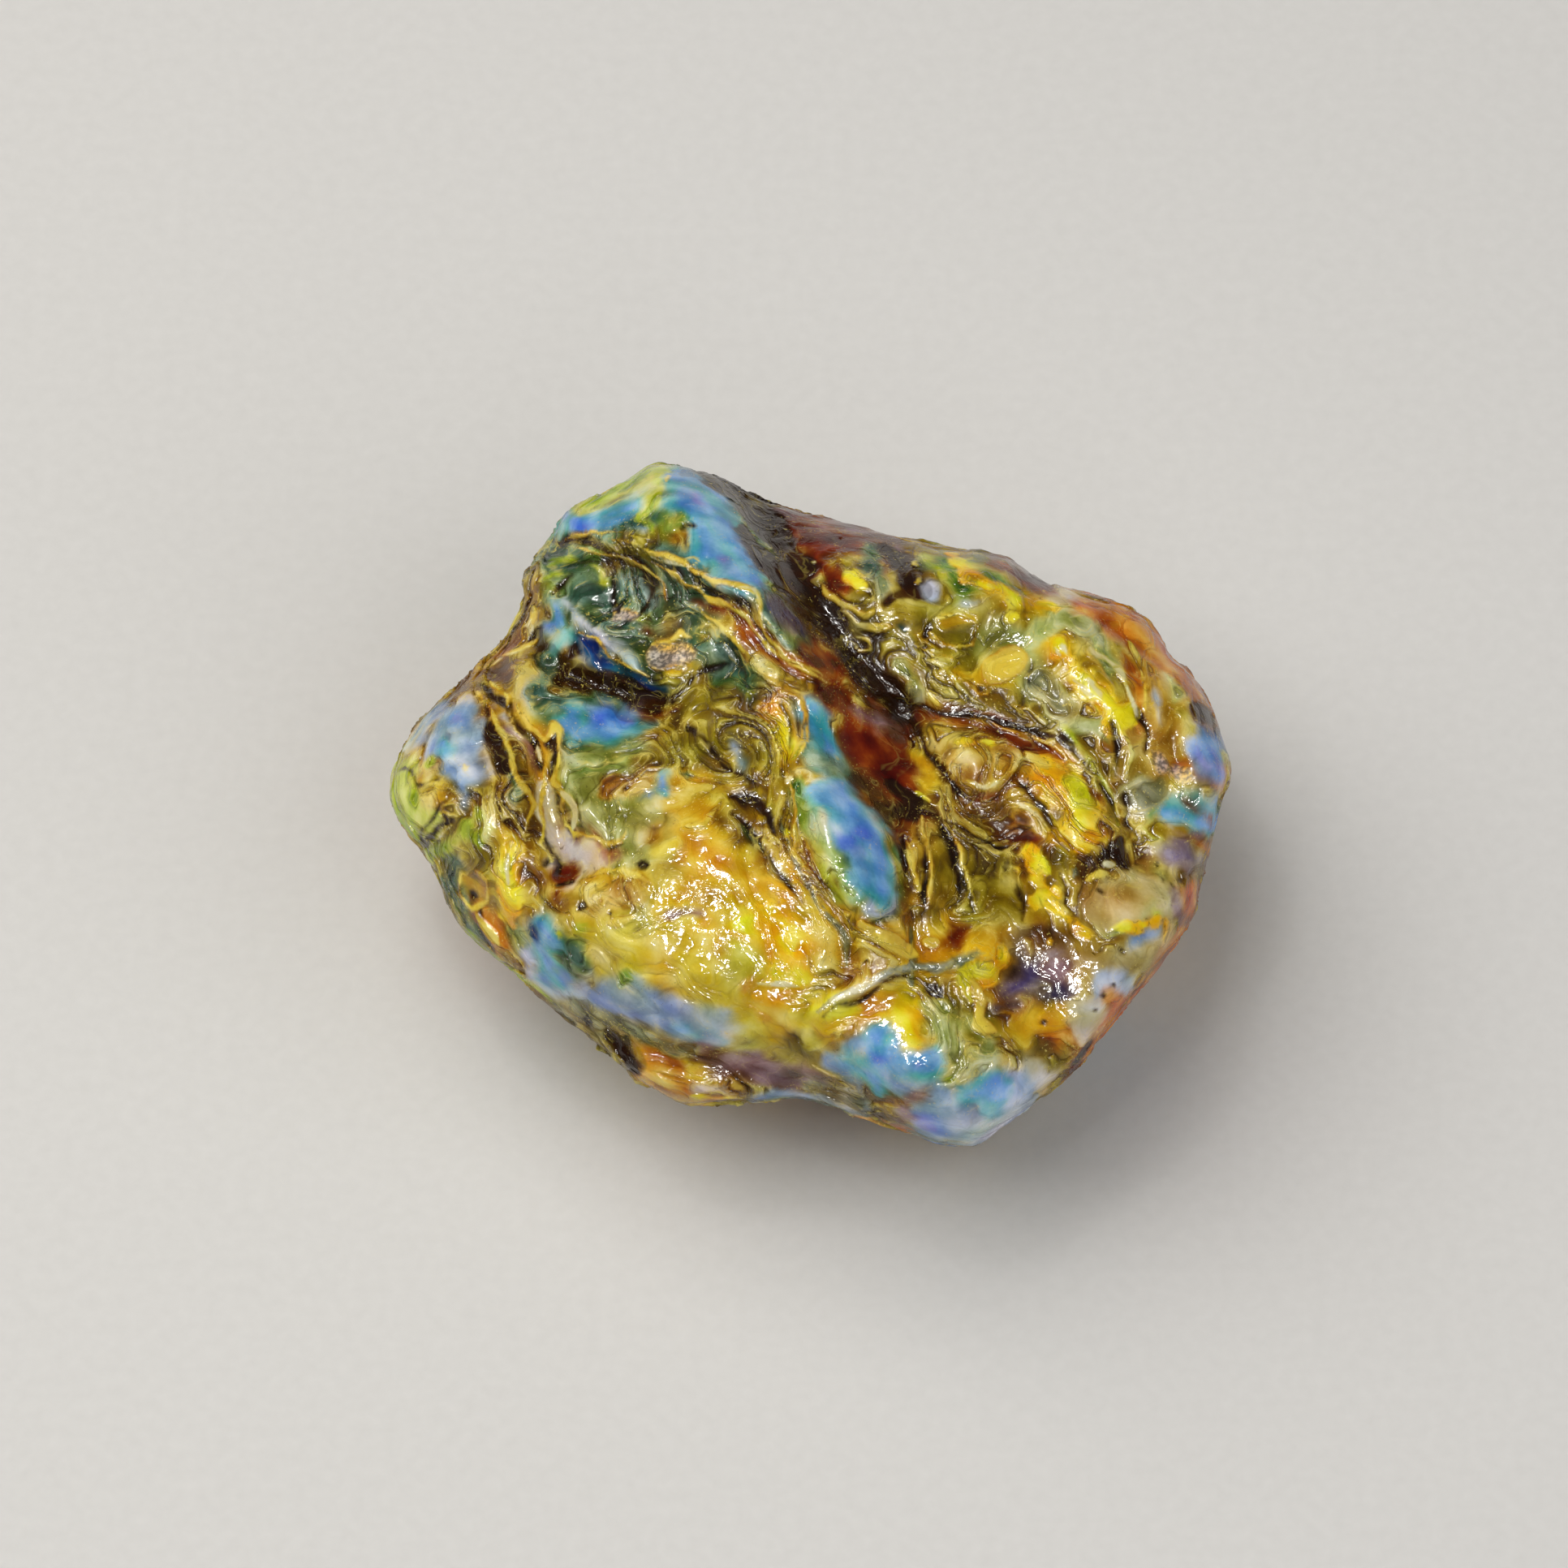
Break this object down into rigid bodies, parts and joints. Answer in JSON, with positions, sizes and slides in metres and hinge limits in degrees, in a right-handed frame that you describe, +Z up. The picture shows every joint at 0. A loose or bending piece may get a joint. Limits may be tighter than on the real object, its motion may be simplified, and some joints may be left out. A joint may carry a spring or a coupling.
{
  "type": "blue amber nugget",
  "caption": "Rough rounded nugget of fossil resin with a deep diagonal valley, a folded swirling face, raised rim lobes and shallow break scars, lying on a small worn flat.",
  "frame": {"origin": "centre of the bounding box's bottom, on the ground under the nugget", "axes": "+Z up from the worn flat that the nugget rests on; +X along its longest extent, to the right for the viewer of the picture; +Y away from that viewer"},
  "size_m": [0.0622, 0.0588, 0.0306],
  "materials": {
    "amber_resin": "wet-looking glossy fossil resin, honey gold marbled with olive, umber and milky cream, with blue to teal flashes"
  },
  "bodies": {
    "root": {"amber_nugget": "amber_resin"}
  },
  "joints": []
}
